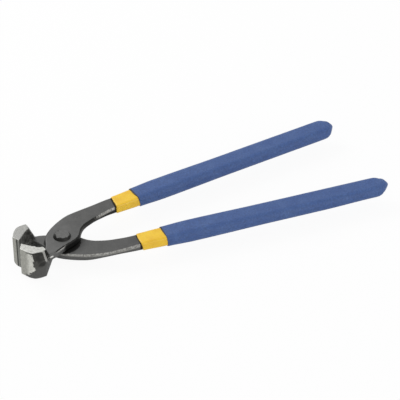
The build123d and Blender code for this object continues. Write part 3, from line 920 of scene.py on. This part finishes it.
def bend_to_cage(tree, given, sheet):
    """Place the rows on the cage, and see how far each has come from the free edge."""
    sheet.bend_from = bar_end - bar_end_radius
    share = add(tree, "ShaderNodeMapRange", {"Value": sheet.row, "From Max": straight_rows})
    share = add(tree, "ShaderNodeMath", (share, crowding), operation="POWER")
    length = add(tree, "ShaderNodeMath", (sheet.bend_from, sheet.edge), operation="SUBTRACT")
    straight = add(tree, "ShaderNodeMath", (share, length), operation="MULTIPLY")
    straight = add(tree, "ShaderNodeMath", (straight, sheet.edge), operation="ADD")
    turn = add(tree, "ShaderNodeMapRange",
               {"Value": sheet.row, "From Min": straight_rows, "To Max": pi / 2})
    bulge = add(tree, "ShaderNodeMath", (turn,), operation="SINE")
    shrink = add(tree, "ShaderNodeMath", (turn,), operation="COSINE")
    sheet.along = add(tree, "ShaderNodeMath", (bulge, cage_nose, straight), operation="MULTIPLY_ADD")
    wide = add(tree, "ShaderNodeMath", (sheet.across, shrink), operation="MULTIPLY")
    sheet.wide = add(tree, "ShaderNodeMath", (wide, bar_width / 2 + cage_gap), operation="MULTIPLY")
    tall = add(tree, "ShaderNodeMath", (sheet.up, shrink), operation="MULTIPLY")
    sheet.tall = add(tree, "ShaderNodeMath", (tall, bar_thickness / 2 + cage_gap), operation="MULTIPLY")
    sheet.cage = add(tree, "ShaderNodeCombineXYZ", (sheet.along, sheet.wide, sheet.tall))
    sheet.past_edge = add(tree, "ShaderNodeMath", (sheet.along, sheet.edge), operation="SUBTRACT")

    # a thick coat rounds the bar's section off, more and more behind its free edge
    rounding = add(tree, "ShaderNodeMapRange",
                   {"Value": sheet.past_edge, "From Max": rounding_length, "To Max": given["Roundness"]},
                   interpolation_type="SMOOTHSTEP")
    sheet.rounding = add(tree, "ShaderNodeMath", (rounding, sheet.outside), operation="MULTIPLY")


print("cage stands", cage_gap, "mm off the bar")

# %% [markdown]
# The core is what is left of the bar when its edge radius is taken off all round: a line along its
# middle, then a slab with round ends about that line. Where a thick coat rounds the
# section off, the core thins to a strip and draws back from the tip, and the radius grows instead.

# %% The nearest point of the core
core_draws_back = 1.1
core_slims = 0.62
core_half = bar_thickness / 2 - bar_edge_radius


def nearest_core(tree, sheet):
    """For each point of the cage, the nearest point of the core, and the way back out."""
    flat = bar_width / 2 - bar_end_radius
    line_end = add(tree, "ShaderNodeMath", (sheet.rounding, -core_draws_back, sheet.bend_from),
                   operation="MULTIPLY_ADD")
    line_along = add(tree, "ShaderNodeMath", (sheet.along, line_end), operation="MINIMUM")
    line_across = add(tree, "ShaderNodeMath", (sheet.wide, -flat), operation="MAXIMUM")
    line_across = add(tree, "ShaderNodeMath", (line_across, flat), operation="MINIMUM")
    line = add(tree, "ShaderNodeCombineXYZ", (line_along, line_across))

    plan = add(tree, "ShaderNodeVectorMath", (sheet.cage, (1, 1, 0)), operation="MULTIPLY")
    off = add(tree, "ShaderNodeVectorMath", (plan, line), operation="SUBTRACT")
    distance = add(tree, "ShaderNodeVectorMath", (off,), operation="LENGTH")
    slab = add(tree, "ShaderNodeMath", (sheet.rounding, -core_slims, bar_end_radius - bar_edge_radius),
               operation="MULTIPLY_ADD")
    reach = add(tree, "ShaderNodeMath", (distance, slab), operation="MINIMUM")
    off = add(tree, "ShaderNodeVectorMath", (off,), operation="NORMALIZE")
    off = add(tree, "ShaderNodeVectorMath", {0: off, "Scale": reach}, operation="SCALE")

    half = add(tree, "ShaderNodeMath", (1.0, sheet.rounding), operation="SUBTRACT")
    half = add(tree, "ShaderNodeMath", (half, core_half), operation="MULTIPLY")
    minus_half = add(tree, "ShaderNodeMath", (half, -1.0), operation="MULTIPLY")
    up = add(tree, "ShaderNodeMath", (sheet.tall, minus_half), operation="MAXIMUM")
    up = add(tree, "ShaderNodeMath", (up, half), operation="MINIMUM")
    up = add(tree, "ShaderNodeCombineXYZ", {"Z": up})
    core = add(tree, "ShaderNodeVectorMath", (line, off), operation="ADD")
    sheet.core = add(tree, "ShaderNodeVectorMath", (core, up), operation="ADD")
    outwards = add(tree, "ShaderNodeVectorMath", (sheet.cage, sheet.core), operation="SUBTRACT")
    sheet.outwards = add(tree, "ShaderNodeVectorMath", (outwards,), operation="NORMALIZE")


print("core is", round(2 * core_half, 2), "mm thick")

# %% [markdown]
# Along the handle the coat starts thin at its lip, swells, and settles to an even thickness, and near
# the tip it changes once more, because it ran while it was wet. Slow waves keep it from looking
# machined. The inside follows the piece under it.

# %% Thickness of the coat
settles_from, settles_to = 1.2, 4.0      # in swell lengths
end_from, end_to = 50, 10                # before the bar's end, where the coat changes to its end thickness
wave_length = 14


def thicken(tree, given, sheet):
    """Go back out from the core by the edge radius and the coat."""
    into = add(tree, "ShaderNodeMapRange", {
        "Value": sheet.past_edge, "From Max": given["Swell Length"],
        "To Min": given["First Coat"], "To Max": given["Swell Coat"]}, interpolation_type="SMOOTHSTEP")
    settle_from = add(tree, "ShaderNodeMath", (given["Swell Length"], settles_from), operation="MULTIPLY")
    settle_to = add(tree, "ShaderNodeMath", (given["Swell Length"], settles_to), operation="MULTIPLY")
    settled = add(tree, "ShaderNodeMath", (given["Full Coat"], given["Swell Coat"]), operation="SUBTRACT")
    settle = add(tree, "ShaderNodeMapRange", {
        "Value": sheet.past_edge, "From Min": settle_from, "From Max": settle_to,
        "To Max": settled}, interpolation_type="SMOOTHSTEP")
    coat = add(tree, "ShaderNodeMath", (into, settle), operation="ADD")
    sheet.near_end = add(tree, "ShaderNodeMapRange", {
        "Value": sheet.along, "From Min": bar_end - end_from, "From Max": bar_end - end_to},
        interpolation_type="SMOOTHSTEP")
    change = add(tree, "ShaderNodeMath", (given["End Coat"], given["Full Coat"]), operation="SUBTRACT")
    coat = add(tree, "ShaderNodeMath", (sheet.near_end, change, coat), operation="MULTIPLY_ADD")
    waves = add(tree, "ShaderNodeTexNoise", {"Vector": sheet.core, "Scale": 1 / wave_length, "Detail": 2.0})
    waves = add(tree, "ShaderNodeMath", (waves, 0.5), operation="SUBTRACT")
    waves = add(tree, "ShaderNodeMath", (waves, given["Unevenness"]), operation="MULTIPLY")
    coat = add(tree, "ShaderNodeMath", (coat, waves), operation="ADD")
    coat = add(tree, "ShaderNodeMath", (sheet.rounding, core_half, coat), operation="MULTIPLY_ADD")

    # the lip is a quarter of a circle
    lip = add(tree, "ShaderNodeMapRange", {"Value": sheet.past_edge, "From Max": given["Lip"]})
    lip = add(tree, "ShaderNodeMath", (1.0, lip), operation="SUBTRACT")
    lip = add(tree, "ShaderNodeMath", (lip, lip), operation="MULTIPLY")
    lip = add(tree, "ShaderNodeMath", (1.0, lip), operation="SUBTRACT")
    lip = add(tree, "ShaderNodeMath", (lip,), operation="SQRT")

    grown = add(tree, "ShaderNodeMath", (coat, given["Inner Coat"]), operation="SUBTRACT")
    for share in (lip, sheet.outside):
        grown = add(tree, "ShaderNodeMath", (grown, share), operation="MULTIPLY")
    for more in (given["Inner Coat"], bar_edge_radius):
        grown = add(tree, "ShaderNodeMath", (grown, more), operation="ADD")
    grown = add(tree, "ShaderNodeVectorMath", {0: sheet.outwards, "Scale": grown}, operation="SCALE")
    sheet.skin = add(tree, "ShaderNodeVectorMath", (sheet.core, grown), operation="ADD")


print("coat settles over", settles_to - settles_from, "swell lengths")

# %% [markdown]
# The last drop hangs from the tip as a blunt cone, and the rounded end flows into it. Just before it
# the coat has run a little to one face, and its end slants.

# %% The end of the coat and its last drop
slant_length = 14
nose_steepness = 1.05        # rise of the drop's side over its run
nose_bluntness = 1.5         # how far short of a sharp point it stops
nose_blend = 0.6
nose_zone = 0.5              # before the bar's end, from where the drop may grow


def shape_tip(tree, given, sheet):
    """Shift and slant the end on the outside, and grow the drop from it."""
    part = add(tree, "ShaderNodeSeparateXYZ", (sheet.skin,)).outputs
    run = add(tree, "ShaderNodeMath", (sheet.near_end, sheet.outside), operation="MULTIPLY")
    run = add(tree, "ShaderNodeMath", (run, given["End Rise"]), operation="MULTIPLY")
    slant = add(tree, "ShaderNodeMapRange", {
        "Value": sheet.along, "From Min": bar_end - slant_length, "From Max": bar_end},
        interpolation_type="SMOOTHSTEP")
    lean = add(tree, "ShaderNodeMath", (part["Z"], given["End Slant"]), operation="MULTIPLY")
    for share in (sheet.outside, lean):
        slant = add(tree, "ShaderNodeMath", (slant, share), operation="MULTIPLY")
    shift = add(tree, "ShaderNodeCombineXYZ", {"X": slant, "Z": run})
    skin = add(tree, "ShaderNodeVectorMath", (sheet.skin, shift), operation="ADD")

    part = add(tree, "ShaderNodeSeparateXYZ", (skin,)).outputs
    above = add(tree, "ShaderNodeMath", (part["Z"], given["Nose Up"]), operation="SUBTRACT")
    off_axis = add(tree, "ShaderNodeCombineXYZ", {"Y": part["Y"], "Z": above})
    off_axis = add(tree, "ShaderNodeVectorMath", (off_axis,), operation="LENGTH")
    steep = add(tree, "ShaderNodeMath", (off_axis, nose_steepness), operation="MULTIPLY")
    cone = add(tree, "ShaderNodeMath", (steep, steep, nose_bluntness ** 2), operation="MULTIPLY_ADD")
    cone = add(tree, "ShaderNodeMath", (cone,), operation="SQRT")
    point = add(tree, "ShaderNodeMath", (given["Tip"], nose_bluntness), operation="ADD")
    cone = add(tree, "ShaderNodeMath", (point, cone), operation="SUBTRACT")
    with_drop = add(tree, "ShaderNodeMath", (part["X"], cone, nose_blend), operation="SMOOTH_MAX")
    longer = add(tree, "ShaderNodeMath", (with_drop, part["X"]), operation="SUBTRACT")
    near_tip = add(tree, "ShaderNodeMath", (part["X"], bar_end - nose_zone), operation="GREATER_THAN")
    for share in (near_tip, sheet.outside, given["Nose"]):
        longer = add(tree, "ShaderNodeMath", (longer, share), operation="MULTIPLY")
    longer = add(tree, "ShaderNodeCombineXYZ", {"X": longer})
    sheet.skin = add(tree, "ShaderNodeVectorMath", (skin, longer), operation="ADD")


print("drop reaches", drop_length, "mm past the coat")

# %% [markdown]
# Last, the sheet is closed, turned from the handle's own frame in millimetres to the tool's frame in
# metres, and given its finish. The lower handle is the upper one turned over.

# %% The whole rule
weld = 0.002


def coat_tree():
    """The Geometry Nodes tree of the coat rule."""
    tree = bpy.data.node_groups.new("coat_on_a_bar", "GeometryNodeTree")
    for label, value in COAT_INPUTS.items():
        socket = tree.interface.new_socket(label, in_out="INPUT", socket_type="NodeSocketFloat")
        socket.default_value = value
    tree.interface.new_socket("Finish", in_out="INPUT", socket_type="NodeSocketMaterial")
    tree.interface.new_socket("Mesh", in_out="OUTPUT", socket_type="NodeSocketGeometry")
    given = add(tree, "NodeGroupInput").outputs
    sheet = flat_grid(tree, given)
    bend_to_cage(tree, given, sheet)
    nearest_core(tree, sheet)
    thicken(tree, given, sheet)
    shape_tip(tree, given, sheet)

    bent = add(tree, "GeometryNodeSetPosition", {"Geometry": sheet.grid, "Position": sheet.skin})
    closed = add(tree, "GeometryNodeMergeByDistance", {"Geometry": bent, "Distance": weld})
    on_bar = add(tree, "GeometryNodeTransform", {
        "Geometry": closed, "Rotation": (0, 0, handle_angle), "Translation": (0, handle_offset, 0)})
    half_turn = add(tree, "ShaderNodeMath", (given["Turned Over"], pi), operation="MULTIPLY")
    half_turn = add(tree, "ShaderNodeCombineXYZ", (half_turn,))
    turned = add(tree, "GeometryNodeTransform", {
        "Geometry": on_bar, "Rotation": half_turn, "Translation": (0, 0, middle_z)})
    in_metres = add(tree, "GeometryNodeTransform", {"Geometry": turned, "Scale": (MM, MM, MM)})
    facing_out = add(tree, "GeometryNodeFlipFaces", {"Mesh": in_metres})
    smooth = add(tree, "GeometryNodeSetShadeSmooth", {"Geometry": facing_out})
    real = add(tree, "GeometryNodeRealizeInstances", {"Geometry": smooth})
    finished = add(tree, "GeometryNodeSetMaterial", {"Geometry": real, "Material": given["Finish"]})
    add(tree, "NodeGroupOutput", {"Mesh": finished})
    return tree


coat_rule = coat_tree()
print("coat rule has", len(coat_rule.nodes), "nodes")

# %% [markdown]
# Each coat is the same rule with other numbers. The blue one starts further along,
# is thicker, and swells a little behind its edge before it evens out. The result is turned into a
# plain mesh, it takes the place of the CAD solid, and it rides on the half that it belongs to.

# %% Make the four coats
def make_coat(piece, node, body, material_slot, finish, **sizes):
    """Build one coat from the rule, in place of a CAD node. sizes are the rule's inputs."""
    carrier = bpy.data.objects.new(piece + "_rule", bpy.data.meshes.new(piece + "_rule"))
    bpy.context.collection.objects.link(carrier)
    modifier = carrier.modifiers.new("coat", "NODES")
    modifier.node_group = coat_rule
    sockets = {s.name: s.identifier for s in coat_rule.interface.items_tree if s.in_out == "INPUT"}
    modifier[sockets["Finish"]] = finish
    sizes.setdefault("end_coat", sizes["full_coat"])
    for label, value in sizes.items():
        modifier[sockets[label.replace("_", " ").title()]] = float(value)
    evaluated = carrier.evaluated_get(bpy.context.evaluated_depsgraph_get())
    mesh = bpy.data.meshes.new_from_object(evaluated)
    carrier.modifiers.remove(modifier)
    bpy.data.objects.remove(carrier)
    mesh.name = piece
    coat = bpy.data.objects.new(piece, mesh)
    bpy.context.collection.objects.link(coat)
    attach(coat, body)
    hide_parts(node)
    low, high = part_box(node)
    points = [v.co for v in mesh.vertices]
    print(f"{piece:18s} {len(mesh.polygons)} faces, grows past its solid by",
          [round((max(p[i] for p in points) - high[i]) / MM, 2) for i in range(3)],
          [round((low[i] - min(p[i] for p in points)) / MM, 2) for i in range(3)])


yellow = dict(inner_coat=0.01, first_coat=0.75, full_coat=1.16, swell_coat=1.16, swell_length=17.0,
              lip=0.9, unevenness=0.06, ripple=0.35)
blue = dict(inner_coat=1.17, first_coat=1.85, full_coat=2.05, swell_coat=2.4, swell_length=20.0,
            lip=0.5, roundness=1, unevenness=0.10, ripple=0.3, tip=grip_tip, nose=1)
make_coat("upper_yellow_coat", "upper_under_sleeve", "upper_half", "yellow_coat", yellow_pvc,
          start=50.2, slant_across=1.1, slant_up=0.05, seed=1, **yellow)
make_coat("lower_yellow_coat", "lower_under_sleeve", "lower_half", "yellow_coat", yellow_pvc,
          start=49.4, slant_across=0.1, slant_up=0.8, seed=2, turned_over=1, **yellow)
make_coat("upper_blue_coat", "upper_grip", "upper_half", "blue_coat", blue_pvc,
          start=67.5, slant_across=-0.35, slant_up=-0.85, seed=3, end_coat=2.05, end_slant=0.12, **blue)
make_coat("lower_blue_coat", "lower_grip", "lower_half", "blue_coat", blue_pvc,
          start=67.4, slant_across=0.6, slant_up=0.4, seed=4, turned_over=1, end_coat=1.75, end_rise=-0.4,
          end_slant=-0.2, nose_up=-0.9, **blue)
